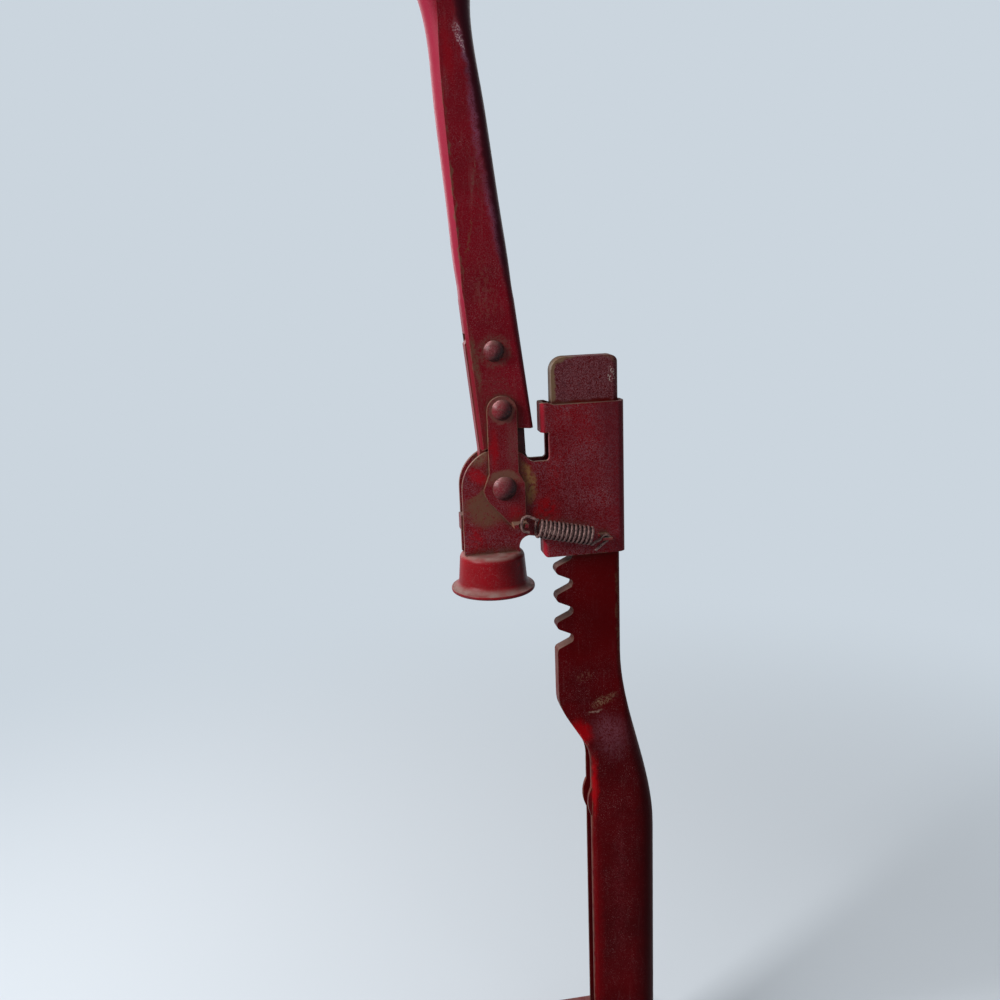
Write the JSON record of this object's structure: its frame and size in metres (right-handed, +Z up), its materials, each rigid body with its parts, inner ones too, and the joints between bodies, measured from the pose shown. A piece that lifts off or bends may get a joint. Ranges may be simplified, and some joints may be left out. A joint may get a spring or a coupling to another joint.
{
  "type": "bottle capper",
  "caption": "Bench bottle capper: folded-sheet column with a rack, and a lever head that presses a crimping bell down on a crown cork.",
  "frame": {"origin": "under the middle of the base plate, on the bench", "axes": "+Z up, +X from the bottle's place towards the column, -Y towards the viewer"},
  "size_m": [0.158, 0.106, 0.62],
  "materials": {
    "red_paint": "worn crimson paint",
    "base_paint": "crimson paint",
    "bell_paint": "crimson paint",
    "bare_steel": "dull, oiled",
    "spring_steel": "tarnished",
    "rubber": "matt"
  },
  "bodies": {
    "root": {"base_plate": "base_paint", "bottle_pad": "rubber", "column": "red_paint", "foot_rivets": "bare_steel"},
    "head": {"head_shell": "red_paint", "bell_hanger": "red_paint", "crown_bell": "bell_paint", "bell_rivet": "bare_steel", "pivot_rivet": "red_paint", "return_spring": "spring_steel"},
    "lever": {"handle": "red_paint", "lever_arm": "red_paint", "link_near": "red_paint", "link_far": "red_paint", "upper_rivet": "red_paint", "lower_rivet": "red_paint"}
  },
  "joints": [
    {"name": "head_slide", "type": "slide", "parent": "root", "child": "head", "axis": [0, 0, 1], "range_m": [-0.0318, 0.0028]},
    {"name": "lever_swing", "type": "hinge", "parent": "head", "child": "lever", "pos_m": [-0.0087, 0, 0.358], "axis": [0, -1, 0], "range_deg": [-5, 60], "deforming": ["return_spring"]}
  ],
  "couplings": [
    {"joint": "head_slide", "follows": "lever_swing", "m_per_rad": -0.0302}
  ]
}
